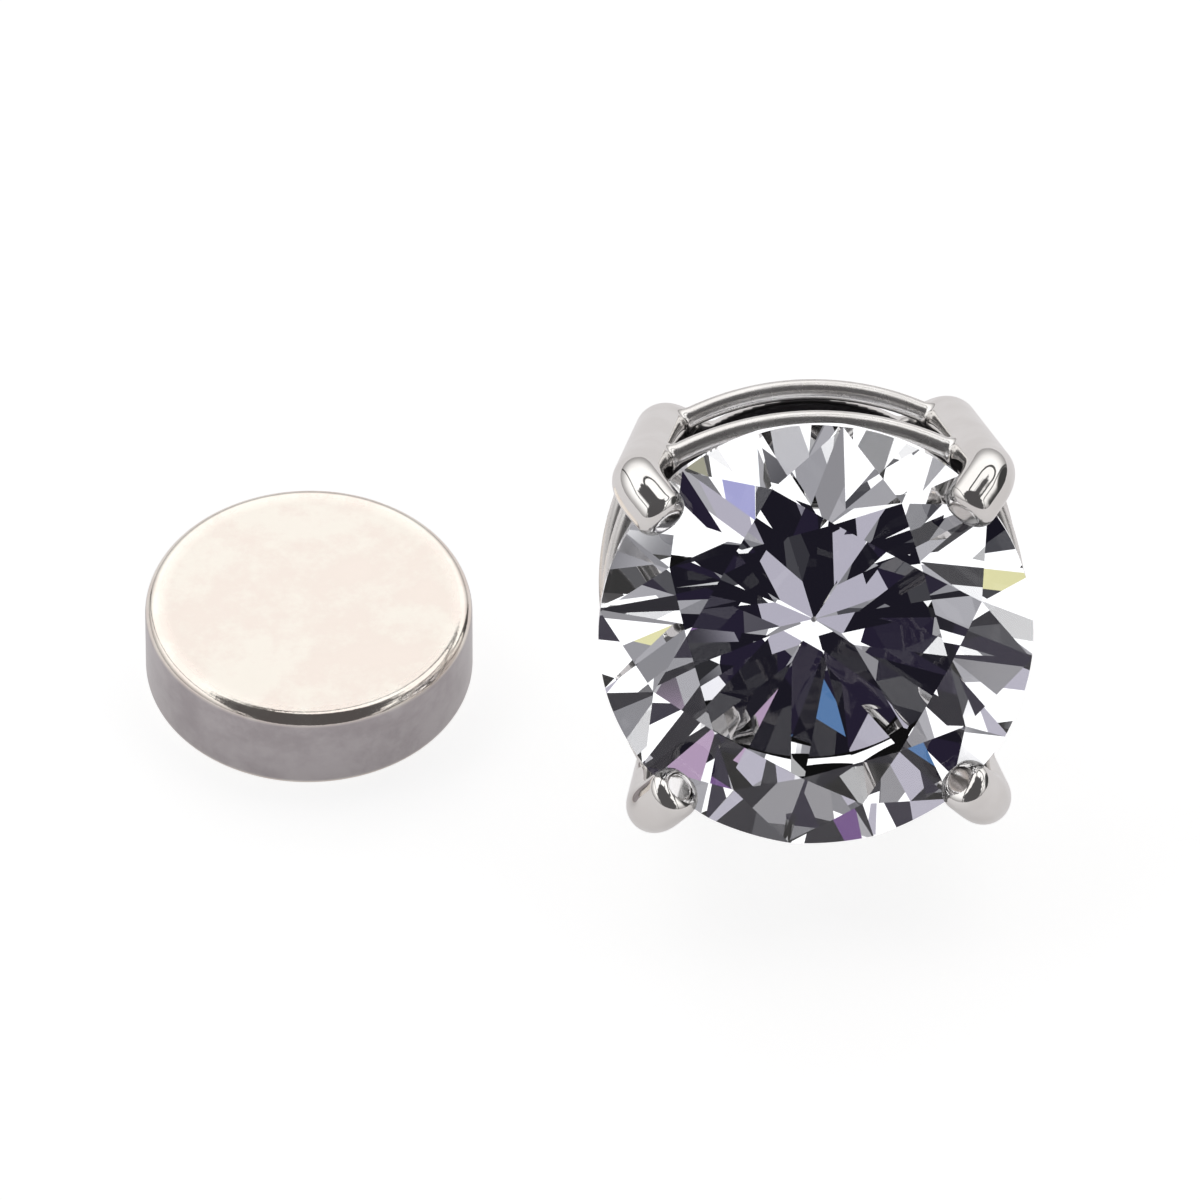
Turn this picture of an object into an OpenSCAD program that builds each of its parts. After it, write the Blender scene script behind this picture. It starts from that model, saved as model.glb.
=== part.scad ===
// Magnetic earring in two loose pieces, in millimetres.
// Front: a round brilliant in a four-claw basket with a magnet cup soldered behind it.
// Back: a plain nickel-plated disc magnet that goes behind the ear lobe.
// +Z is up, the floor is z = 0, and the origin lies under the middle of the two pieces.
// The front piece is drawn in its own frame first: the stone's girdle lies in z = 0, the table
// faces +Z and the back is at -Z. place_front() then lays it down as it rests by itself.

/* [Stone] */
// Diameter at the girdle
stone_d = 8; // [7.6:0.05:8.1]
// Table width over its corners, as a share of the diameter
table_share = 0.61; // [0.5:0.01:0.62]
// Angle of the eight crown mains to the girdle plane, in degrees
crown_angle = 34.5; // [31:0.5:36]
// Angle of the eight pavilion mains to the girdle plane, in degrees
pavilion_angle = 41.2; // [40:0.2:42]
// How far a star facet reaches from the table's edge to the girdle
star_share = 0.5; // [0.4:0.05:0.6]
// How far a lower half facet reaches from the girdle to the centre
lower_half_share = 0.79; // [0.7:0.01:0.85]
// Girdle thickness at its thick places
girdle_t = 0.25; // [0.2:0.01:0.3]
// Width of the flat culet
culet_w = 0.1; // [0.05:0.01:0.15]
// Turn of the facets about the stone's axis, in degrees
facet_turn = -8; // [-9:1:-7]

/* [Setting] */
// Wire diameter of the claws
claw_d = 1.0; // [0.9:0.05:1.05]
// Distance of the claws' centre line from the axis, at the girdle
claw_r = 4.44; // [4.4:0.01:4.48]
// The same distance at the claws' lower bend
claw_foot_r = 3.92; // [3.9:0.01:3.94]
// Depth of the lower bend's corner below the girdle
claw_foot_depth = 3.95; // [3.9:0.01:4]
// Height of the upper bend's corner above the girdle
claw_bend_h = 0.36; // [0.34:0.01:0.4]
// Slope of the claws' tips over the crown, in degrees
tip_angle = 36; // [34:1:38]
// Length of a tip from the bend's corner to its end
tip_l = 0.96; // [0.94:0.01:1.1]
// Rounding of a tip's end
tip_round = 0.25; // [0.2:0.01:0.3]
// Centre-line radius of the upper bend
upper_bend = 0.6; // [0.55:0.05:0.65]
// Centre-line radius of the lower bend
lower_bend = 0.8; // [0.7:0.05:0.9]
// Wire diameter of the two gallery rails
rail_d = 0.38; // [0.34:0.01:0.42]
// Distance of the upper rail from the axis, midway between two claws
upper_rail_r = 3.75; // [3.72:0.01:3.78]
// Distance of the lower rail from the axis, midway between two claws
lower_rail_r = 3.7; // [3.68:0.01:3.72]
// Depth of the upper rail below the girdle
upper_rail_depth = 1.12; // [1.05:0.01:1.2]
// Depth of the lower rail below the girdle
lower_rail_depth = 3.45; // [3.4:0.01:3.5]
// Radius of each of the upper rail's four bowed sides
upper_rail_bow = 5.6; // [5.2:0.1:6]
// Radius of each of the lower rail's four bowed sides
lower_rail_bow = 5; // [5:0.1:5.6]
// Radius of the plate that closes the basket behind the lower rail
base_r = 3.42; // [3.4:0.01:3.44]
// Depth of the plate's front face below the girdle
base_depth = 3.76; // [3.74:0.01:3.8]
// Thickness of the plate
base_t = 0.36; // [0.3:0.01:0.4]

/* [Magnets] */
// Diameter of the back magnet
back_d = 6.1; // [6:0.05:6.2]
// Thickness of the back magnet
back_t = 1.8; // [1.5:0.05:2]
// Rounding of the back magnet's edges
back_round = 0.25; // [0.2:0.01:0.3]
// Diameter of the front magnet
front_magnet_d = 4.5; // [4.4:0.05:4.55]
// Thickness of the front magnet
front_magnet_t = 1.5; // [1.4:0.05:1.55]
// Rounding of the front magnet's edges
front_magnet_round = 0.12; // [0.1:0.01:0.15]
// Wall of the cup round the front magnet
cup_wall = 0.2; // [0.18:0.01:0.24]
// Thickness of the cup's floor
cup_floor_t = 0.5; // [0.48:0.01:0.6]
// Depth of the cup's rim below the girdle
cup_depth = 6.0; // [5.98:0.01:6.02]
// Rounding of the cup's rim
cup_round = 0.1; // [0.08:0.01:0.1]
// How far the front magnet stands out of its cup
magnet_proud = 0.05; // [0.03:0.01:0.08]

/* [Layout] */
// Distance between the two pieces' centres, from left to right
piece_gap_x = 9.38; // [9:0.02:10]
// How far the stone's centre lies in front of the back magnet's
piece_gap_y = 4.0; // [3.8:0.05:4.3]
// Turn of the front piece about the upright, in degrees
front_turn = 2; // [0:0.5:4]

/* [Hidden] */
$fn = 96;

// Clearance between the stone or the front magnet and the metal round it
clearance = 0.04;
// A claw's straight stretches are this much thinner than its bends, and reach into them by lap
lap_step = 0.004;
lap = 0.05;
// Larger than any piece, for cutting half-spaces away
cutter = 20;
facet_step = 360 / 8;
// The smaller facets are cut this much deeper, so that no four facets meet in one point
star_play = 0.004;
upper_half_play = 0.002;
lower_half_play = 0.003;
// Where each claw stands round the axis and how far it leans out of its own plane, towards its
// neighbour: set by hand, a little off square
claws = [[43, 5.4], [137, -5.4], [226, 2.7], [314, -2.7]];
// Distance of a rail side's end from the middle of that side, inside the claw
rail_end = 2.8;

stone_r = stone_d / 2;
claw_wire_r = claw_d / 2;
rail_wire_r = rail_d / 2;

// Stone: each facet family is one inclination and one distance, worked out from the shares above.
// A facet's distance is measured from the stone's centre along the facet's own normal.
table_r = stone_r * table_share;
table_z = girdle_t / 2 + (stone_r - table_r) * tan(crown_angle);
star_r = table_r * cos(22.5) + star_share * (stone_r - table_r * cos(22.5));
star_z = girdle_t / 2 + (stone_r - star_r * cos(22.5)) * tan(crown_angle);
star_angle = atan((table_z - star_z) / (star_r - table_r * cos(22.5)));
half_chord_r = stone_r * cos(11.25);
upper_half_angle = atan((star_z - girdle_t / 2) / (half_chord_r - star_r * cos(11.25)));
lower_half_r = stone_r * (1 - lower_half_share);
lower_half_z = girdle_t / 2 + (stone_r - lower_half_r * cos(22.5)) * tan(pavilion_angle);
lower_half_angle = atan((lower_half_z - girdle_t / 2) / (half_chord_r - lower_half_r * cos(11.25)));
culet_z = girdle_t / 2 + (stone_r - culet_w / 2) * tan(pavilion_angle);

// Distance from the centre of a facet that slopes by angle and passes through (r, z)
function facet_distance(angle, r, z) = r * sin(angle) + z * cos(angle);

// Claws: a path of corners in the plane (distance from the axis, height above the girdle)
// An arm ends inside the cup's wall, this far in front of the front magnet
arm_lift = 0.2;
arm_end = [front_magnet_d / 2, -cup_depth - magnet_proud + front_magnet_t + arm_lift];
claw_foot = [claw_foot_r, -claw_foot_depth];
claw_bend = [claw_r, claw_bend_h];
claw_tip = claw_bend + tip_l * [-cos(tip_angle), sin(tip_angle)];

// A point of the plane (distance from the axis, height) at an azimuth
function around(azimuth, p) = [p[0] * cos(azimuth), p[0] * sin(azimuth), p[1]];
// How far a claw's rounded end reaches from the girdle's centre along the unit vector u
function tip_reach(azimuth, u) =
    let(along = around(azimuth, [-cos(tip_angle), sin(tip_angle)]))
    u * (around(azimuth, claw_tip) - tip_round * along)
    + (claw_wire_r - tip_round) * sqrt(1 - pow(u * along, 2)) + tip_round;

// Cup and front magnet, as heights along the axis
cup_r = front_magnet_d / 2 + clearance + cup_wall;
magnet_back_z = -cup_depth - magnet_proud;
magnet_front_z = magnet_back_z + front_magnet_t;
cup_floor_z = magnet_front_z + clearance;
cup_top_z = cup_floor_z + cup_floor_t;

// Rest: the lower rail and the cup's rim touch the floor together at this tilt of the table
rest_reach = [lower_rail_r - (cup_r - cup_round), cup_depth - cup_round - lower_rail_depth];
rest_tilt = acos((cup_round - rail_wire_r) / norm(rest_reach)) - atan2(rest_reach[1], rest_reach[0]);
girdle_h = lower_rail_r * cos(rest_tilt) + lower_rail_depth * sin(rest_tilt) + rail_wire_r;

// Layout: the two pieces together are centred on the origin
table_dir = [cos(rest_tilt) * sin(front_turn), -cos(rest_tilt) * cos(front_turn), sin(rest_tilt)];
stone_reach_x = stone_r * sqrt(1 - pow(table_dir[0], 2)) + girdle_t / 2 * table_dir[0];
to_front = [-sin(front_turn), -sin(rest_tilt) * cos(front_turn), cos(rest_tilt) * cos(front_turn)];
front_reach = max([for (place = claws) tip_reach(place[0], to_front)]);
front_x = (piece_gap_x + back_d / 2 - stone_reach_x) / 2;
back_x = front_x - piece_gap_x;
front_y = (front_reach - piece_gap_y - back_d / 2) / 2;
back_y = front_y + piece_gap_y;

// Lays the front piece down, leaning on its lower rail and its cup
module place_front() {
    translate([front_x, front_y, girdle_h])
        rotate([0, 0, front_turn])
            rotate([90 - rest_tilt, 0, 0])
                children();
}

// Removes what lies beyond a plane at a distance from the centre, sloping down at an azimuth
module beyond_facet(angle, azimuth, distance) {
    rotate([0, angle, azimuth])
        translate([-cutter / 2, -cutter / 2, distance])
            cube(cutter);
}

// One family of eight facets, the first at the azimuth start from the facets' own turn
module facet_family(angle, start, distance) {
    for (i = [0:7])
        beyond_facet(angle, facet_turn + start + i * facet_step, distance);
}

// Round brilliant: a round girdle cut by its table, crown, pavilion and culet facets
module brilliant() {
    main_d = facet_distance(crown_angle, stone_r, girdle_t / 2);
    star_d = facet_distance(star_angle, table_r * cos(22.5), table_z) - star_play;
    upper_half_d = facet_distance(upper_half_angle, half_chord_r, girdle_t / 2) - upper_half_play;
    pavilion_main_d = facet_distance(pavilion_angle, stone_r, girdle_t / 2);
    lower_half_d = facet_distance(lower_half_angle, half_chord_r, girdle_t / 2) - lower_half_play;
    difference() {
        translate([0, 0, -culet_z])
            cylinder(r = stone_r, h = culet_z + table_z);
        facet_family(crown_angle, 0, main_d);
        facet_family(star_angle, 22.5, star_d);
        for (side = [-11.25, 11.25])
            facet_family(upper_half_angle, side, upper_half_d);
        facet_family(180 - pavilion_angle, 0, pavilion_main_d);
        for (side = [-11.25, 11.25])
            facet_family(180 - lower_half_angle, side, lower_half_d);
    }
}

// Room for the stone in the claws: its outline turned about its axis, with the clearance round it
module stone_room() {
    crown_slope = atan((star_z - girdle_t / 2) / (stone_r - star_r));
    crown_out = clearance / cos(crown_slope);
    rotate_extrude()
        polygon([
            [0, -culet_z],
            [stone_r + clearance, -girdle_t / 2 - clearance],
            [stone_r + clearance, girdle_t / 2 + clearance / 2],
            [star_r, star_z + crown_out],
            [table_r, table_z + crown_out],
            [0, table_z + crown_out]
        ]);
}

// Round wire of radius r from a to b, both in the plane z = 0
module wire(a, b, r) {
    translate([a[0], a[1], 0])
        rotate([0, 90, atan2(b[1] - a[1], b[0] - a[0])])
            cylinder(r = r, h = norm(b - a));
}

// Bend of a round wire in the plane z = 0, to the left, round the centre c
module wire_bend(c, bend, start, turn, r) {
    translate([c[0], c[1], 0])
        rotate([0, 0, start - 90])
            rotate_extrude(angle = turn)
                translate([bend, 0])
                    circle(r = r);
}

// Rounded wire of length l that starts at p and points along the direction given in degrees
module rounded_wire(p, direction, l, r, rounding) {
    translate([p[0], p[1], 0])
        rotate([0, 90, direction])
            rotate_extrude()
                union() {
                    square([r - rounding, l]);
                    square([r, l - rounding]);
                    intersection() {
                        translate([r - rounding, l - rounding])
                            circle(r = rounding);
                        translate([0, l - rounding])
                            square([r, rounding]);
                    }
                }
}

// One claw: an arm from the cup, the lower bend, the leg, the upper bend and the tip
module claw() {
    arm_dir = atan2(claw_foot[1] - arm_end[1], claw_foot[0] - arm_end[0]);
    leg_dir = atan2(claw_bend[1] - claw_foot[1], claw_bend[0] - claw_foot[0]);
    tip_dir = 180 - tip_angle;
    straight_r = claw_wire_r - lap_step;
    foot_cut = lower_bend * tan((leg_dir - arm_dir) / 2);
    bend_cut = upper_bend * tan((tip_dir - leg_dir) / 2);
    arm_unit = [cos(arm_dir), sin(arm_dir)];
    leg_unit = [cos(leg_dir), sin(leg_dir)];
    tip_unit = [cos(tip_dir), sin(tip_dir)];
    foot_start = claw_foot - foot_cut * arm_unit;
    foot_end = claw_foot + foot_cut * leg_unit;
    bend_start = claw_bend - bend_cut * leg_unit;
    bend_end = claw_bend + bend_cut * tip_unit;
    foot_centre = foot_start + lower_bend * [-sin(arm_dir), cos(arm_dir)];
    bend_centre = bend_start + upper_bend * [-sin(leg_dir), cos(leg_dir)];
    wire(arm_end, foot_start + lap * arm_unit, straight_r);
    wire_bend(foot_centre, lower_bend, arm_dir, leg_dir - arm_dir, claw_wire_r);
    wire(foot_end - lap * leg_unit, bend_start + lap * leg_unit, straight_r);
    wire_bend(bend_centre, upper_bend, leg_dir, tip_dir - leg_dir, claw_wire_r);
    rounded_wire(bend_end - lap * tip_unit, tip_dir, tip_l - bend_cut + lap, straight_r, tip_round);
}

// Stands a claw at its azimuth, leaning about its upper bend
module place_claw(azimuth, lean) {
    rotate([0, 0, azimuth])
        translate([claw_r, 0, claw_bend_h])
            rotate([90 + lean, 0, 0])
                translate([-claw_r, -claw_bend_h, 0])
                    children();
}

// Gallery rail: four bowed sides that run from claw to claw
module rail(r, depth, bow) {
    reach = asin(rail_end / bow);
    for (i = [0:3])
        rotate([0, 0, 90 * i])
            translate([r - bow, 0, -depth])
                rotate([0, 0, -reach])
                    rotate_extrude(angle = 2 * reach)
                        translate([bow, 0])
                            circle(r = rail_wire_r);
}

// Round plate that closes the basket and carries the cup
module base_plate() {
    translate([0, 0, -base_depth - base_t])
        cylinder(r = base_r, h = base_t);
}

// Soldered basket with the cup that holds the front magnet
module setting() {
    color([0.87, 0.87, 0.88])
        place_front()
            difference() {
                union() {
                    for (place = claws)
                        place_claw(place[0], place[1])
                            claw();
                    rail(upper_rail_r, upper_rail_depth, upper_rail_bow);
                    rail(lower_rail_r, lower_rail_depth, lower_rail_bow);
                    base_plate();
                    cup_body();
                }
                cup_recess();
                stone_room();
            }
}

// The cup's outside, with its rim rounded
module cup_body() {
    rotate_extrude()
        union() {
            translate([0, -cup_depth])
                square([cup_r - cup_round, cup_round]);
            translate([0, -cup_depth + cup_round])
                square([cup_r, cup_depth - cup_round + cup_top_z]);
            intersection() {
                translate([cup_r - cup_round, -cup_depth + cup_round])
                    circle(r = cup_round);
                translate([0, -cup_depth])
                    square([cup_r, cup_round]);
            }
        }
}

// The cup's hollow, open at the back
module cup_recess() {
    translate([0, 0, -cutter])
        cylinder(r = front_magnet_d / 2 + clearance, h = cutter + cup_floor_z);
}

module stone() {
    color([0.93, 0.95, 0.98, 0.6])
        place_front()
            brilliant();
}

// Disc magnet with rounded edges, its underside in z = 0
module disc(d, t, rounding) {
    rotate_extrude()
        union() {
            square([d / 2 - rounding, t]);
            translate([0, rounding])
                square([d / 2, t - 2 * rounding]);
            for (z = [rounding, t - rounding])
                intersection() {
                    translate([d / 2 - rounding, z])
                        circle(r = rounding);
                    translate([0, z == rounding ? 0 : z])
                        square([d / 2, rounding]);
                }
        }
}

module front_magnet() {
    color([0.78, 0.77, 0.76])
        place_front()
            translate([0, 0, magnet_back_z])
                disc(front_magnet_d, front_magnet_t, front_magnet_round);
}

module back_magnet() {
    color([0.82, 0.80, 0.78])
        translate([back_x, back_y, 0])
            disc(back_d, back_t, back_round);
}

setting();
stone();
front_magnet();
back_magnet();
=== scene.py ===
import math

import bmesh
import bpy
import numpy as np
from mathutils import Matrix, Vector


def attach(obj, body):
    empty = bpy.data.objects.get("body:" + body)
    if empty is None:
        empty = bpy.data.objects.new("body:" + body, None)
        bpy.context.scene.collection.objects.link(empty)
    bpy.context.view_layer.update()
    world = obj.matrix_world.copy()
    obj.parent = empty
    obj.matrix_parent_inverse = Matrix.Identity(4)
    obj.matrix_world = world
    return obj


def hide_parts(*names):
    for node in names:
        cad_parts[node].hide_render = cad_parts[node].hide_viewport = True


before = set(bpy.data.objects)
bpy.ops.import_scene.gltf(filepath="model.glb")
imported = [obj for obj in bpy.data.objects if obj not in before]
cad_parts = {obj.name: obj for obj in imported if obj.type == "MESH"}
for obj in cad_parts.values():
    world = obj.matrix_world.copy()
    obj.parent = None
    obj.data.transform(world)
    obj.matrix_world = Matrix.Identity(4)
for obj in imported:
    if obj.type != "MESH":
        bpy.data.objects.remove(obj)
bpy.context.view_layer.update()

# Setting: four wire claws, two gallery rails, a closing plate and the magnet's cup, soldered into
# one basket of brass, then polished and plated with a bright white metal. Sizes are in millimetres
# round the basket's own axis, with the stone's girdle in z = 0; laid_down puts them in the frame.
MM = 0.001
FRONT_CENTRE = Vector((4.2140, -2.1997, 5.1191)) * MM
REST_TILT, FRONT_TURN = math.radians(29.9895), math.radians(2.0)
laid_down = (
    Matrix.Translation(FRONT_CENTRE)
    @ Matrix.Rotation(FRONT_TURN, 4, "Z")
    @ Matrix.Rotation(math.pi / 2 - REST_TILT, 4, "X")
    @ Matrix.Scale(MM, 4)
)
CLAWS = ((43, 5.4), (137, -5.4), (226, 2.7), (314, -2.7))  # azimuth, lean towards a neighbour
CLAW_R, TIP_ROUND = 0.5, 0.25
CLAW_FOOT, CLAW_BEND = np.array((3.92, -3.95)), np.array((4.44, 0.36))
ARM_END = np.array((2.25, -4.35))
TIP_SLOPE, TIP_L, UPPER_BEND, LOWER_BEND = math.radians(36), 0.96, 0.6, 0.8
RAIL_R, RAIL_REACH = 0.19, 2.8
RAILS = ((3.75, 1.12, 5.6), (3.7, 3.45, 5.0))  # distance from the axis, depth, bow
PLATE_R, PLATE_Z, PLATE_EDGE = 3.42, (-4.12, -3.76), 0.06
CUP_R, CUP_Z, CUP_EDGE, HOLLOW_R, HOLLOW_TOP = 2.49, (-6.0, -4.01), 0.09, 2.29, -4.51
SEAT = ((4.012, 0.14), (3.13, 0.905), (2.44, 1.215), (0.0, 1.215), (0.0, -3.62), (4.012, -0.14))
SOLDER, SEAT_EDGE = 0.16, 0.03
FAR = 9.0  # stands for a distance beyond every surface
SKIN_LOW, SKIN_HIGH = (-5.02, -5.02, -6.07), (5.02, 5.02, 1.35)
SKIN_CELL = 0.058
SHADED_R, SHADED_FADE, SHADED_DEPTH = 3.62, 0.08, 0.5
SHADED_FROM, SHADED_SPREAD, SATIN_REACH = 1.0, 0.8, 0.05


def blended(a, b, width):
    """Union of two distances with a soldered fillet."""
    near = np.maximum(width - np.abs(a - b), 0) / width
    return np.minimum(a, b) - near * near * width / 4


def rounded_disc(x, y, z, radius, low, high, edge):
    across = np.hypot(x, y) - (radius - edge)
    along = np.abs(z - (low + high) / 2) - ((high - low) / 2 - edge)
    outside = np.hypot(np.maximum(across, 0), np.maximum(along, 0))
    return outside + np.minimum(np.maximum(across, along), 0) - edge


def beside_segment(u, w, start, end):
    run = end - start
    share = np.clip(((u - start[0]) * run[0] + (w - start[1]) * run[1]) / (run @ run), 0, 1)
    return np.hypot(u - start[0] - share * run[0], w - start[1] - share * run[1])


def beside_arc(u, w, centre, radius, start, sweep):
    turned = np.mod(np.arctan2(w - centre[1], u - centre[0]) - start, math.tau)
    away = np.abs(np.hypot(u - centre[0], w - centre[1]) - radius)
    return np.where(turned <= sweep, away, FAR)


def unit(angle):
    return np.array((math.cos(angle), math.sin(angle)))


def heading(run):
    return math.atan2(run[1], run[0])


arm_way, leg_way, tip_way = (
    heading(CLAW_FOOT - ARM_END),
    heading(CLAW_BEND - CLAW_FOOT),
    math.pi - TIP_SLOPE,
)
foot_cut = LOWER_BEND * math.tan((leg_way - arm_way) / 2)
bend_cut = UPPER_BEND * math.tan((tip_way - leg_way) / 2)
foot_start = CLAW_FOOT - foot_cut * unit(arm_way)
bend_start = CLAW_BEND - bend_cut * unit(leg_way)
tip_start = CLAW_BEND + bend_cut * unit(tip_way)
foot_centre = foot_start + LOWER_BEND * unit(arm_way + math.pi / 2)
bend_centre = bend_start + UPPER_BEND * unit(leg_way + math.pi / 2)
tip_run = TIP_L - bend_cut


def claw_distance(u, v, w):
    """Distance from a claw in its own plane: u outwards, w along the basket's axis, v across."""
    tip_end = tip_start + max(tip_run - CLAW_R, 0.01) * unit(tip_way)
    line = beside_segment(u, w, ARM_END, foot_start)
    for stretch in (
        beside_arc(u, w, foot_centre, LOWER_BEND, arm_way - math.pi / 2, leg_way - arm_way),
        beside_segment(u, w, CLAW_FOOT + foot_cut * unit(leg_way), bend_start),
        beside_arc(u, w, bend_centre, UPPER_BEND, leg_way - math.pi / 2, tip_way - leg_way),
        beside_segment(u, w, tip_start, tip_end),
    ):
        line = np.minimum(line, stretch)
    wire = np.hypot(line, v) - CLAW_R
    along = (u - tip_start[0]) * math.cos(tip_way) + (w - tip_start[1]) * math.sin(tip_way)
    across = (w - tip_start[1]) * math.cos(tip_way) - (u - tip_start[0]) * math.sin(tip_way)
    return np.minimum(wire, rounded_disc(across, v, along, CLAW_R, -0.1, tip_run, TIP_ROUND))


def rail_distance(x, y, z):
    found = None
    for centre_r, depth, bow in RAILS:
        reach = math.asin(RAIL_REACH / bow)
        for side in range(4):
            c, s = (1, 0, -1, 0)[side], (0, 1, 0, -1)[side]
            u, v = x * c + y * s - (centre_r - bow), y * c - x * s
            ring = np.hypot(u, v) - bow
            end = np.hypot(u - bow * math.cos(reach), np.abs(v) - bow * math.sin(reach))
            line = np.where(np.abs(np.arctan2(v, u)) < reach, np.abs(ring), end)
            wire = np.hypot(line, z + depth) - RAIL_R
            found = wire if found is None else np.minimum(found, wire)
    return found


def seat_distance(x, y, z):
    """Distance from the room that the stone needs: its outline turned about the axis."""
    r, found = np.hypot(x, y), None
    for (r0, z0), (r1, z1) in zip(SEAT[:-1], SEAT[1:]):
        if r0 == r1 == 0:
            continue
        length = math.hypot(r1 - r0, z1 - z0)
        side = ((r - r0) * (z1 - z0) - (z - z0) * (r1 - r0)) / length
        found = side if found is None else np.maximum(found, side)
    return np.maximum(found, r - SEAT[0][0])


def setting_distance(x, y, z):
    metal = None
    for azimuth, lean in CLAWS:
        (c, s), (lean_c, lean_s) = unit(math.radians(azimuth)), unit(math.radians(lean))
        v, w = y * c - x * s, z - CLAW_BEND[1]
        v, w = v * lean_c + w * lean_s, w * lean_c - v * lean_s
        claw = claw_distance(x * c + y * s, v, w + CLAW_BEND[1])
        metal = claw if metal is None else np.minimum(metal, claw)
    metal = blended(metal, rail_distance(x, y, z), SOLDER)
    metal = blended(metal, rounded_disc(x, y, z, PLATE_R, *PLATE_Z, PLATE_EDGE), SOLDER)
    metal = blended(metal, rounded_disc(x, y, z, CUP_R, *CUP_Z, CUP_EDGE), SOLDER)
    hollow = np.maximum(np.hypot(x, y) - HOLLOW_R, z - HOLLOW_TOP)
    metal = np.maximum(metal, -hollow)
    return -blended(-metal, seat_distance(x, y, z), SEAT_EDGE)


def skin(distance, low, high, cell):
    """Corner points and four-sided faces of the surface where distance is nought."""
    axes = [np.arange(a, b + cell, cell) for a, b in zip(low, high)]
    field = np.broadcast_to(
        distance(*np.meshgrid(*axes, indexing="ij", sparse=True)), [len(a) for a in axes]
    )
    inside = field < 0
    size = [n - 1 for n in field.shape]
    corners = [(i, j, k) for i in (0, 1) for j in (0, 1) for k in (0, 1)]

    def shifted(grid, at):
        return grid[tuple(slice(a, a + n) for a, n in zip(at, size))]

    count = sum(shifted(inside, at).astype(np.int8) for at in corners)
    cells = np.argwhere((count > 0) & (count < 8))
    number = np.full(size, -1)
    number[tuple(cells.T)] = np.arange(len(cells))
    points, crossings = np.zeros((len(cells), 3)), np.zeros(len(cells))
    for at in corners:
        for axis in range(3):
            if at[axis]:
                continue
            to = np.array(at) + np.eye(3, dtype=int)[axis]
            a, b = field[tuple((cells + at).T)], field[tuple((cells + to).T)]
            crossed = (a < 0) != (b < 0)
            share = np.where(crossed, a / np.where(crossed, a - b, 1), 0)
            place = cells + at + share[:, None] * np.eye(3)[axis]
            points += place * crossed[:, None]
            crossings += crossed
    points = np.array(low) + cell * points / crossings[:, None]
    faces = []
    for axis in range(3):
        after, last = (axis + 1) % 3, (axis + 2) % 3
        here = [slice(None)] * 3
        there = [slice(None)] * 3
        here[axis], there[axis] = slice(0, -1), slice(1, None)
        edges = np.argwhere(inside[tuple(here)] != inside[tuple(there)])
        leaving = inside[tuple(edges.T)]
        ring = []
        for back_a, back_l in ((1, 1), (0, 1), (0, 0), (1, 0)):
            at = edges.copy()
            at[:, after] -= back_a
            at[:, last] -= back_l
            ring.append(number[tuple(at.T)])
        ring = np.stack(ring, 1)
        faces.append(np.where(leaving[:, None], ring, ring[:, ::-1]))
    return points, np.concatenate(faces)


def settled(points, faces, distance, rounds):
    """Evens the points out along the surface and puts each exactly on it."""
    sides = np.concatenate([faces[:, [a, (a + 1) % 4]] for a in range(4)])
    meets = np.bincount(sides[:, 0], minlength=len(points))
    for turn in range(rounds + 1):
        if turn < rounds:
            near = [np.bincount(sides[:, 0], points[sides[:, 1], a], len(points)) for a in range(3)]
            points = (points + np.stack(near, 1) / meets[:, None]) / 2
        for _ in range(2):
            here = distance(*points.T)
            step = 0.002
            slope = np.stack(
                [
                    distance(*(points + way).T) - distance(*(points - way).T)
                    for way in np.eye(3) * step
                ],
                1,
            ) / (2 * step)
            points = points - (here / np.maximum((slope**2).sum(1), 0.5))[:, None] * slope
    return points


def piece_from(name, points, faces, place):
    mesh = bpy.data.meshes.new(name)
    mesh.from_pydata(np.asarray(points).tolist(), [], np.asarray(faces).tolist())
    mesh.transform(place)
    mesh.update()
    piece = bpy.data.objects.new(name, mesh)
    bpy.context.collection.objects.link(piece)
    return piece


class Value:
    """A socket of a node tree. Arithmetic on it adds Math nodes."""

    def __init__(self, tree, socket=None):
        self.tree, self.socket = tree, socket

    def node(self, kind, inputs=(), output=0, **settings):
        made = self.tree.nodes.new(kind)
        for name, setting in settings.items():
            setattr(made, name, setting)
        for name, given in dict(inputs).items():
            if isinstance(given, Value):
                self.tree.links.new(given.socket, made.inputs[name])
            else:
                made.inputs[name].default_value = given
        return Value(self.tree, made.outputs[output])

    def math(self, operation, *given):
        return self.node("ShaderNodeMath", dict(enumerate(given)), operation=operation)

    def __add__(self, other):
        return self.math("ADD", self, other)

    __radd__ = __add__

    def __sub__(self, other):
        return self.math("SUBTRACT", self, other)

    def __rsub__(self, other):
        return self.math("SUBTRACT", other, self)

    def __mul__(self, other):
        return self.math("MULTIPLY", self, other)

    __rmul__ = __mul__

    def mixed(self, factor, a, b):
        """Colour a where the factor is 0, colour b where it is 1."""
        inputs = {"Factor": factor, "A": a, "B": b}
        return self.node("ShaderNodeMix", inputs, output=2, data_type="RGBA")

    def between(self, low, high):
        """0 below low, 1 above high, smooth between."""
        return self.node(
            "ShaderNodeMapRange",
            {"Value": self, "From Min": low, "From Max": high},
            interpolation_type="SMOOTHSTEP",
        )


def new_material(name):
    """An empty material, the Value that adds its nodes, and a call that sets its shader."""
    material = bpy.data.materials.new(name)
    material.use_nodes = True
    tree = material.node_tree
    tree.nodes.clear()
    end = tree.nodes.new("ShaderNodeOutputMaterial")

    def shown_as(**sockets):
        shader = tree.nodes.new("ShaderNodeBsdfPrincipled")
        for name, given in sockets.items():
            socket = shader.inputs[name.replace("_", " ")]
            if isinstance(given, Value):
                tree.links.new(given.socket, socket)
            else:
                socket.default_value = given
        tree.links.new(shader.outputs[0], end.inputs[0])

    return material, Value(tree), shown_as


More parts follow.
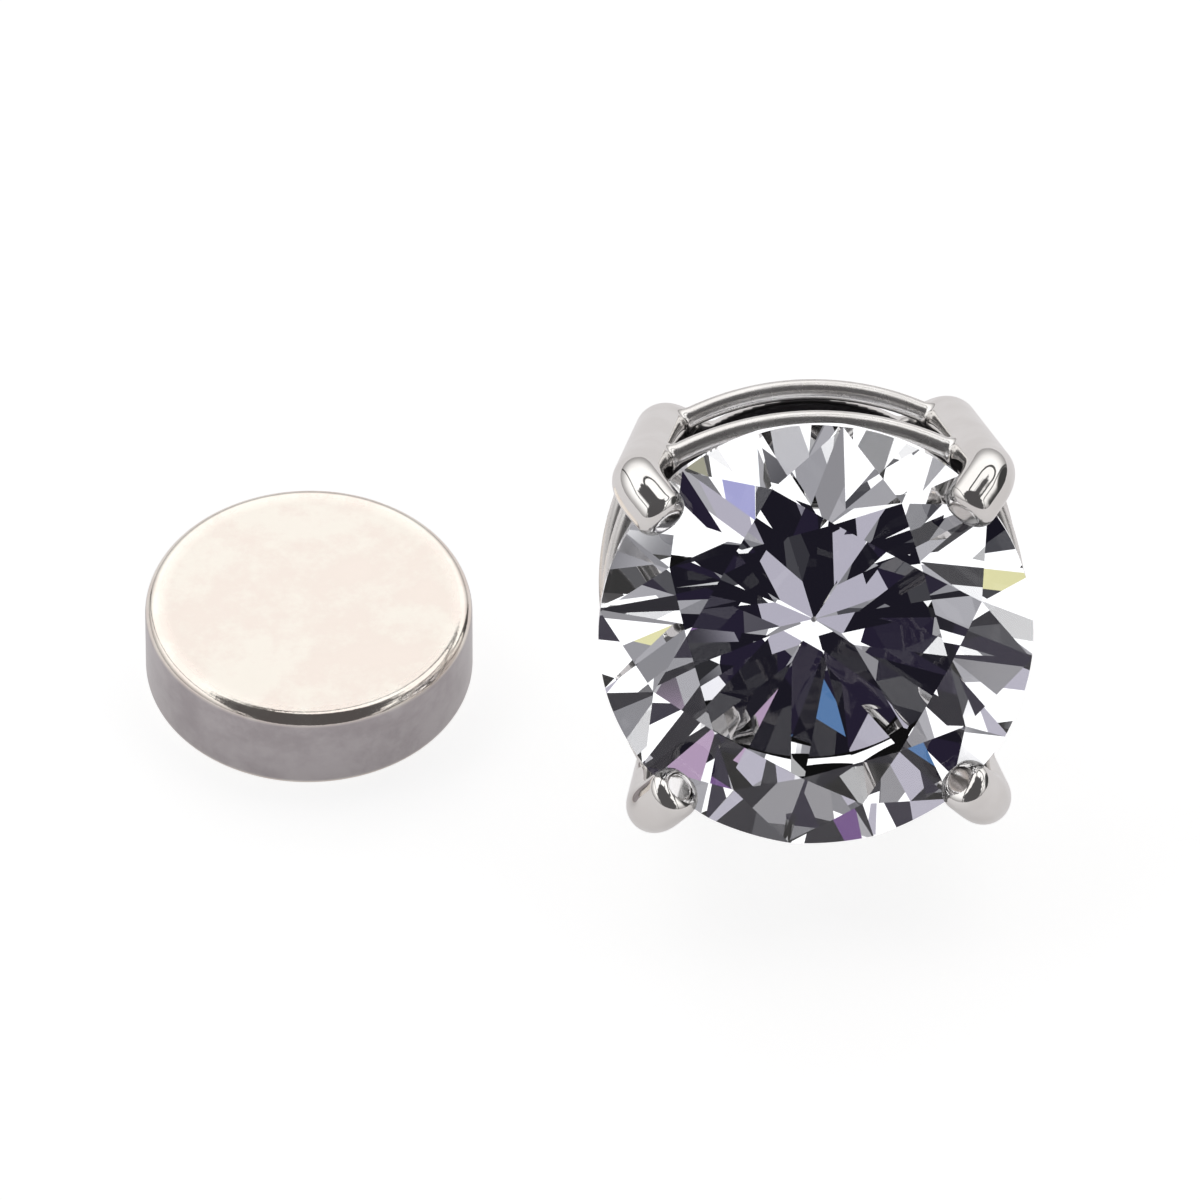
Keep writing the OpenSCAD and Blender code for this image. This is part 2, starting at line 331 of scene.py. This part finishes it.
setting_points, setting_faces = skin(setting_distance, SKIN_LOW, SKIN_HIGH, SKIN_CELL)
setting_points = settled(setting_points, setting_faces, setting_distance, 2)
setting = piece_from("setting_metal", setting_points, setting_faces, laid_down)
setting.data.shade_smooth()

# Painted shade: the basket's inside is painted dark, and made dull, towards its top side, where it
# lies in shade; its rails are a little satin
from_axis = np.hypot(setting_points[:, 0], setting_points[:, 1])
depth = -setting_points[:, 2]
hollow = np.clip((SHADED_R - from_axis) / SHADED_FADE, 0, 1)
hollow = hollow * (depth < 0.05 - PLATE_Z[1]) * (depth > SHADED_DEPTH)
hollow = hollow * np.clip((setting_points[:, 1] - SHADED_FROM) / SHADED_SPREAD, 0, 1)
rail = np.clip(1 - rail_distance(*setting_points.T) / SATIN_REACH, 0, 1)
for attribute, share in (("hollow", hollow), ("rail", rail)):
    setting.data.attributes.new(attribute, "FLOAT", "POINT").data.foreach_set("value", share)

white_plate, nodes, shown_as = new_material("polished_white_plate")
at = nodes.node("ShaderNodeTexCoord", output="Object")
cloud = nodes.node("ShaderNodeTexNoise", {"Vector": at, "Scale": 900, "Detail": 3})
polish = nodes.node("ShaderNodeTexNoise", {"Vector": at, "Scale": 2600, "Detail": 4})
tone = nodes.mixed(cloud.between(0.35, 0.65), (0.77, 0.75, 0.73, 1), (0.83, 0.815, 0.80, 1))
dull_and_painted_shade = nodes.node("ShaderNodeAttribute", output="Fac", attribute_name="hollow")
satin = nodes.node("ShaderNodeAttribute", output="Fac", attribute_name="rail")
# Painted shade: where the hollow mask is set, the metal's colour goes nearly black
tone = nodes.mixed(dull_and_painted_shade, tone, (0.03, 0.028, 0.03, 1))
waves = nodes.node("ShaderNodeBump", {"Strength": 0.12, "Distance": 0.00003, "Height": cloud})
shown_as(
    Base_Color=tone,
    Metallic=1.0,
    Roughness=0.05 + 0.05 * polish.between(0.3, 0.8) + 0.2 * satin + 0.3 * dull_and_painted_shade,
    Normal=waves,
)
setting.data.materials.append(white_plate)
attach(setting, "front")
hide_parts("setting")

# Stone: a round brilliant of colourless cubic zirconia, cut with a table, crown, pavilion and a
# small culet, and held by the claws' tips. Each facet is a plane at its own slope and distance.
STONE_R, GIRDLE_T, CULET_W = 4.0, 0.25, 0.1
TABLE_SHARE, STAR_SHARE, LOWER_HALF_SHARE = 0.61, 0.5, 0.79
CROWN_SLOPE, PAVILION_SLOPE = math.radians(34.5), math.radians(41.2)
FACET_TURN = math.radians(-8.0)
GIRDLE_SIDES = 256
half_step, quarter_step = math.radians(22.5), math.radians(11.25)
table_r = STONE_R * TABLE_SHARE
table_z = GIRDLE_T / 2 + (STONE_R - table_r) * math.tan(CROWN_SLOPE)
star_in = table_r * math.cos(half_step)
star_r = star_in + STAR_SHARE * (STONE_R - star_in)
star_z = GIRDLE_T / 2 + (STONE_R - star_r * math.cos(half_step)) * math.tan(CROWN_SLOPE)
chord_r = STONE_R * math.cos(quarter_step)
lower_r = STONE_R * (1 - LOWER_HALF_SHARE)
lower_z = GIRDLE_T / 2 + (STONE_R - lower_r * math.cos(half_step)) * math.tan(PAVILION_SLOPE)
culet_z = GIRDLE_T / 2 + (STONE_R - CULET_W / 2) * math.tan(PAVILION_SLOPE)
star_slope = math.atan((table_z - star_z) / (star_r - star_in))
upper_slope = math.atan((star_z - GIRDLE_T / 2) / (chord_r - star_r * math.cos(quarter_step)))
lower_slope = math.atan((lower_z - GIRDLE_T / 2) / (chord_r - lower_r * math.cos(quarter_step)))
facets = [(0.0, 0.0, table_z), (math.pi, 0.0, culet_z)]
for step in range(8):
    turn = FACET_TURN + step * 2 * half_step
    for slope, start, r, z, up in (
        (CROWN_SLOPE, 0, STONE_R, GIRDLE_T / 2, 1),
        (star_slope, half_step, star_in, table_z, 1),
        (upper_slope, quarter_step, chord_r, GIRDLE_T / 2, 1),
        (upper_slope, -quarter_step, chord_r, GIRDLE_T / 2, 1),
        (PAVILION_SLOPE, 0, STONE_R, GIRDLE_T / 2, -1),
        (lower_slope, quarter_step, chord_r, GIRDLE_T / 2, -1),
        (lower_slope, -quarter_step, chord_r, GIRDLE_T / 2, -1),
    ):
        reach = r * math.sin(slope) + z * math.cos(slope)
        facets.append((slope if up > 0 else math.pi - slope, turn + start, reach))

cut = bmesh.new()
bmesh.ops.create_cone(
    cut, cap_ends=True, segments=GIRDLE_SIDES, radius1=STONE_R, radius2=STONE_R, depth=8
)
for slope, turn, reach in facets:
    normal = Vector(
        (math.sin(slope) * math.cos(turn), math.sin(slope) * math.sin(turn), math.cos(slope))
    )
    everything = cut.verts[:] + cut.edges[:] + cut.faces[:]
    bmesh.ops.bisect_plane(
        cut, geom=everything, plane_co=normal * reach, plane_no=normal, clear_outer=True, dist=1e-6
    )
    bmesh.ops.holes_fill(cut, edges=[e for e in cut.edges if e.is_boundary], sides=0)
bmesh.ops.recalc_face_normals(cut, faces=cut.faces[:])
bmesh.ops.transform(cut, matrix=laid_down, verts=cut.verts[:])
stone_mesh = bpy.data.meshes.new("stone_brilliant")
cut.to_mesh(stone_mesh)
cut.free()
stone = bpy.data.objects.new("stone_brilliant", stone_mesh)
bpy.context.collection.objects.link(stone)

clear_stone, nodes, shown_as = new_material("clear_cut_stone")
at = nodes.node("ShaderNodeTexCoord", output="Object")
haze = nodes.node("ShaderNodeTexNoise", {"Vector": at, "Scale": 500, "Detail": 2})
tint = nodes.mixed(haze.between(0.4, 0.6), (0.985, 0.985, 1, 1), (0.965, 0.97, 1, 1))
# The surface mirrors less than a real stone's would, for the depth of the dark middle
shown_as(
    Base_Color=tint,
    Roughness=0.0,
    IOR=2.16,
    Transmission_Weight=1.0,
    Specular_Tint=(0.4, 0.4, 0.4, 1),
)
stone.data.materials.append(clear_stone)
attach(stone, "front")
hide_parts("stone")

# Front magnet: a plain nickel-plated disc pressed into the cup behind the stone, its face just
# proud of the cup's rim. Back magnet: the larger loose disc that goes behind the lobe.
FACE_RINGS, WAVER, INSET = (0.25, 0.5, 0.7, 0.85), 0.004, 0.008


def turned_disc(name, diameter, thickness, edge, place, seed):
    """A disc with rounded edges, underside in z = 0, whose rim wavers by a few microns."""
    around, over, draw = 288, 10, np.random.default_rng(seed)
    r = diameter / 2
    profile = [(r * share, 0.0) for share in FACE_RINGS]
    face = [0.0] * (1 + len(FACE_RINGS))
    rim, wall = face[:], face[:]
    for z, start in ((edge, -90), (thickness - edge, 0)):
        for step in range(over + 1):
            angle = math.radians(start + 90 * step / over)
            profile.append((r - edge + edge * math.cos(angle), z + edge * math.sin(angle)))
            rim.append(1.0 if 0 < step < over else 0.5)
            wall.append(min(max((math.cos(angle) - 0.9) / 0.08, 0), 1))
    profile += [(r * share, thickness) for share in reversed(FACE_RINGS)]
    turns = np.arange(around) * math.tau / around
    beat, start = np.arange(2, 9)[:, None], draw.uniform(0, math.tau, (7, 1))
    waver = WAVER * (draw.uniform(0.3, 1, (7, 1)) * np.sin(beat * turns + start) / beat).sum(0)
    points = [(0, 0, 0)]
    for distance, z in profile:
        reach = distance - INSET * (distance / r) + waver * (distance / r)
        points += [(d * math.cos(a), d * math.sin(a), z) for d, a in zip(reach, turns)]
    points.append((0, 0, thickness))
    rim, wall = rim + face, wall + face
    faces = [(0, 1 + (i + 1) % around, 1 + i) for i in range(around)]
    for ring in range(len(profile) - 1):
        low, high = 1 + ring * around, 1 + (ring + 1) * around
        for i in range(around):
            after = (i + 1) % around
            faces.append((low + i, low + after, high + after, high + i))
    last = 1 + (len(profile) - 1) * around
    faces += [(last + i, last + (i + 1) % around, len(points) - 1) for i in range(around)]
    mesh = bpy.data.meshes.new(name)
    mesh.from_pydata(points, [], faces)
    mesh.transform(place)
    mesh.shade_smooth()
    for attribute, rings in (("rim", rim), ("wall", wall)):
        spread = [rings[0]] + list(np.repeat(rings[1:-1], around)) + [rings[-1]]
        mesh.attributes.new(attribute, "FLOAT", "POINT").data.foreach_set("value", spread)
    piece = bpy.data.objects.new(name, mesh)
    bpy.context.collection.objects.link(piece)
    return piece


MAGNET_BACK = -6.05
BACK_PLACE = Vector((-5.1660, 1.8003, 0)) * MM
front_magnet = turned_disc(
    "front_magnet_disc", 4.5, 1.5, 0.12, laid_down @ Matrix.Translation((0, 0, MAGNET_BACK)), 3
)
back_magnet = turned_disc(
    "back_magnet_disc", 6.1, 1.8, 0.25, Matrix.Translation(BACK_PLACE) @ Matrix.Scale(MM, 4), 5
)

nickel_plate, nodes, shown_as = new_material("satin_nickel_plate")
at = nodes.node("ShaderNodeTexCoord", output="Object")
cloud = nodes.node(
    "ShaderNodeTexNoise", {"Vector": at, "Scale": 900, "Detail": 6, "Roughness": 0.65}
)
grain = nodes.node("ShaderNodeTexNoise", {"Vector": at, "Scale": 9000, "Detail": 4})
rim = nodes.node("ShaderNodeAttribute", output="Fac", attribute_name="rim")
wall = nodes.node("ShaderNodeAttribute", output="Fac", attribute_name="wall")
face_tone = nodes.mixed(cloud.between(0.4, 0.62), (0.83, 0.75, 0.69, 1), (0.89, 0.845, 0.775, 1))
# Painted shade: the disc's side wall gets a darker, greyer copy of the face's nickel tone, for the
# shade on that side
painted_shade_wall_tone = nodes.mixed(cloud.between(0.35, 0.65), (0.41, 0.38, 0.39, 1), (0.51, 0.48, 0.49, 1))
waves = nodes.node(
    "ShaderNodeBump", {"Strength": 0.2, "Distance": 0.00001, "Height": grain + cloud}
)
shown_as(
    Base_Color=nodes.mixed(wall, face_tone, painted_shade_wall_tone),
    Metallic=1.0,
    Roughness=0.30 - 0.22 * rim + 0.08 * cloud.between(0.3, 0.7),
    Normal=waves,
)
for magnet, body, node in (
    (front_magnet, "front", "front_magnet"),
    (back_magnet, "back", "back_magnet"),
):
    magnet.data.materials.append(nickel_plate)
    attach(magnet, body)
    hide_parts(node)

# Floor, light and camera: a plain white table under a broad soft light, seen from above with a
# long lens. What shows through the stone is a pattern of its own, fitted to the view from here.
FLOOR = 3.0
floor_mesh = bpy.data.meshes.new("floor")
floor_mesh.from_pydata(
    [(-FLOOR, -FLOOR, 0), (FLOOR, -FLOOR, 0), (FLOOR, FLOOR, 0), (-FLOOR, FLOOR, 0)],
    [],
    [(0, 1, 2, 3)],
)
floor = bpy.data.objects.new("floor", floor_mesh)
bpy.context.collection.objects.link(floor)
floor_white, nodes, shown_as = new_material("floor_white")
seen = nodes.node("ShaderNodeLightPath", output="Is Camera Ray")
shown_as(
    Base_Color=nodes.mixed(seen, (0.5, 0.49, 0.5, 1), (0.3, 0.3, 0.3, 1)),
    Roughness=0.9,
    Emission_Color=nodes.mixed(seen, (0.44, 0.43, 0.43, 1), (0.84, 0.84, 0.84, 1)),
    Emission_Strength=1.0,
)
floor.data.materials.append(floor_white)
floor.visible_transmission = False  # so the stone sees the world's pattern below it too

world = bpy.data.worlds.new("studio")
bpy.context.scene.world = world
world.use_nodes = True
world.node_tree.nodes.clear()
sky = Value(world.node_tree)
way = sky.node("ShaderNodeTexCoord", output="Generated")


def along(direction):
    """How far the way looked lies along a direction."""
    return sky.node(
        "ShaderNodeVectorMath",
        {0: way, 1: Vector(direction).normalized()},
        output="Value",
        operation="DOT_PRODUCT",
    )


CAMERA_ELEVATION = math.radians(46)
toward_camera = (0, -math.cos(CAMERA_ELEVATION), math.sin(CAMERA_ELEVATION))
rays = world.node_tree.nodes.new("ShaderNodeLightPath")
to_camera = Value(world.node_tree, rays.outputs["Is Camera Ray"])
through_stone = Value(world.node_tree, rays.outputs["Is Transmission Ray"])
mixed = sky.mixed

# What the metal and the floor see: a white tent, greyer towards its foot, with seams and with a
# dark ragged opening, an oval round the camera
OPEN_ACROSS, OPEN_UP, OPEN_RAGGED = 2.0, 1.4, 0.9
across = along((1, 0, 0))
upwards = along((0, math.sin(CAMERA_ELEVATION), math.cos(CAMERA_ELEVATION)))
height = along((0, 0, 1))
ragged = sky.node("ShaderNodeTexNoise", {"Vector": way, "Scale": 5.0, "Detail": 2})
opening = across * across * OPEN_ACROSS + upwards * upwards * OPEN_UP
opening = opening + (ragged - 0.5) * OPEN_RAGGED
opening = (1 - opening.between(0.92, 1.02)) * along(toward_camera).between(-0.02, 0.02)
tent = mixed(height.between(0.0, 0.6), (0.42, 0.41, 0.41, 1), (1.3, 1.29, 1.28, 1))
tent = mixed(along((1, 0.25, 0.1)).between(0.86, 0.93), tent, (0.06, 0.06, 0.06, 1))
for direction, place in (((1, 0, 0.2), -0.62), ((1, 0, -0.1), 0.72), ((0.3, 0.2, 1), 0.9)):
    seam = along(direction) - place
    tent = mixed(1 - (seam * seam).between(0.0003, 0.0005), tent, (0.08, 0.08, 0.08, 1))
plain_light = mixed(opening, tent, (0.10, 0.097, 0.10, 1))

# What the stone sees: four crossing waves cut into black, grey and white panels, with a core on
# the viewer's side, 27 degrees up, that is darker and more purple
WAVES, WAVE_RATE, WAVE_TURN, WAVE_START, GOLDEN_TURN = 4, 14.3, 1.6, 4.92, 2.39996
GREY_FROM, WHITE_FROM, PANEL_EDGE, CORE_DARK = -1.84, -0.19, 0.03, 2.2
BLACK, GREY = (0.006, 0.005, 0.012, 1), (0.30, 0.295, 0.31, 1)
PALE, WHITE = (0.50, 0.48, 0.56, 1), (1.35, 1.35, 1.35, 1)
core = along((0, -0.891, 0.454)).between(0.857, 0.891)
panels = -CORE_DARK * core
for wave in range(WAVES):
    rise, turn = (wave + 0.5) / WAVES, WAVE_TURN + wave * GOLDEN_TURN
    side = math.sqrt(1 - rise * rise)
    across_panels = along((side * math.cos(turn), side * math.sin(turn), rise))
    panels = panels + sky.math("SINE", WAVE_RATE * across_panels + WAVE_START * (wave + 1))
grey = mixed(ragged.between(0.35, 0.65), (0.19, 0.19, 0.205, 1), (0.46, 0.455, 0.48, 1))
grey = mixed(core, grey, (0.014, 0.010, 0.028, 1))
white = mixed(core, WHITE, PALE)
shade = mixed(core, (0.07, 0.07, 0.08, 1), BLACK)
stone_light = shade
for level, colour in ((GREY_FROM, grey), (WHITE_FROM, white)):
    above = panels.between(level - PANEL_EDGE, level + PANEL_EDGE)
    stone_light = mixed(above, stone_light, colour)

# Round cards in front of the waves, set where the stone's large facets look: elevation, azimuth
# (0 away from the viewer, 90 to the right) and radius in degrees, and a tone. A later card covers
# an earlier one: pale and white, then grey, then black, then small coloured lights.
CARD_EDGE = 0.3
CARDS = (
    (9, 173, 4, PALE),
    (7, 150, 3, PALE),
    (3, -171, 4, PALE),
    (17, -161, 4, PALE),
    (12, -140, 3, PALE),
    (36, 154, 3, PALE),
    (19, 175, 3, PALE),
    (35, 168, 2.5, PALE),
    (40, -155, 2.5, PALE),
    (8, 170, 2.5, WHITE),
    (49, 130, 5, GREY),
    (24, -177, 2.5, GREY),
    (30, -165, 3.5, GREY),
    (33, 174, 2, GREY),
    (53, 167, 2.5, GREY),
    (55, 159, 2, GREY),
    (32, 141, 4, BLACK),
    (54, 152, 4, BLACK),
    (46, 98, 4, BLACK),
    (12, -147, 3, BLACK),
    (58, -146, 4, BLACK),
    (46, -141, 4, BLACK),
    (32, -114, 6, BLACK),
    (72, -164, 2.0, (0.85, 0.82, 0.45, 1)),
    (27, -174, 1.3, (0.08, 0.19, 0.40, 1)),
    (18, -155, 1.8, (0.16, 0.07, 0.24, 1)),
    (48, -150, 2.0, (0.50, 0.36, 0.52, 1)),
    (33, -139, 2.0, (0.42, 0.42, 0.72, 1)),
    (29, -121, 2.5, (0.60, 0.78, 0.86, 1)),
    (-1, 12, 3, (0.90, 0.88, 0.62, 1)),
)
for rise, turn, radius, colour in CARDS:
    rise, turn = math.radians(rise), math.radians(turn)
    direction = (math.cos(rise) * math.sin(turn), math.cos(rise) * math.cos(turn), math.sin(rise))
    outer, inner = math.cos(math.radians(radius + CARD_EDGE)), math.cos(math.radians(radius))
    stone_light = mixed(along(direction).between(outer, inner), stone_light, colour)

# Light that took more turns inside the stone than the main way does is dimmed
LATER_THAN, LATER_DIM = (5.4, 5.6), 0.65
later_glance = Value(world.node_tree, rays.outputs["Ray Depth"]).between(*LATER_THAN)
stone_light = mixed(later_glance * LATER_DIM, stone_light, (0, 0, 0, 1))


def glow(colour):
    return sky.node("ShaderNodeBackground", {"Color": colour, "Strength": 1.0})


light = glow(plain_light)
for share, other in ((through_stone, glow(stone_light)), (to_camera, glow((1, 1, 1, 1)))):
    light = sky.node("ShaderNodeMixShader", {0: share, 1: light, 2: other})
end = world.node_tree.nodes.new("ShaderNodeOutputWorld")
world.node_tree.links.new(light.socket, end.inputs[0])

# The back disc's middle stands at DISC_PX in a frame of FRAME_PX pixels each way
FRAME_PX, CAMERA_AWAY, MM_PER_PX, DISC_PX, SENSOR = 1200, 500, 0.0186, (309, 636), 36
right = Vector((1, 0, 0))
up = Vector((0, math.sin(CAMERA_ELEVATION), math.cos(CAMERA_ELEVATION)))
disc_middle = BACK_PLACE + Vector((0, 0, 0.9 * MM))
from_disc = right * (FRAME_PX / 2 - DISC_PX[0]) - up * (FRAME_PX / 2 - DISC_PX[1])
target = disc_middle + MM * MM_PER_PX * from_disc
camera = bpy.data.objects.new("camera", bpy.data.cameras.new("camera"))
bpy.context.collection.objects.link(camera)
camera.location = target + Vector(toward_camera) * CAMERA_AWAY * MM
camera.rotation_euler = (math.pi / 2 - CAMERA_ELEVATION, 0, 0)
camera.data.sensor_width = SENSOR
camera.data.lens = SENSOR * CAMERA_AWAY / (FRAME_PX * MM_PER_PX)
camera.data.clip_start, camera.data.clip_end = 0.01, 20
bpy.context.scene.camera = camera
bpy.context.scene.view_settings.view_transform = "Standard"
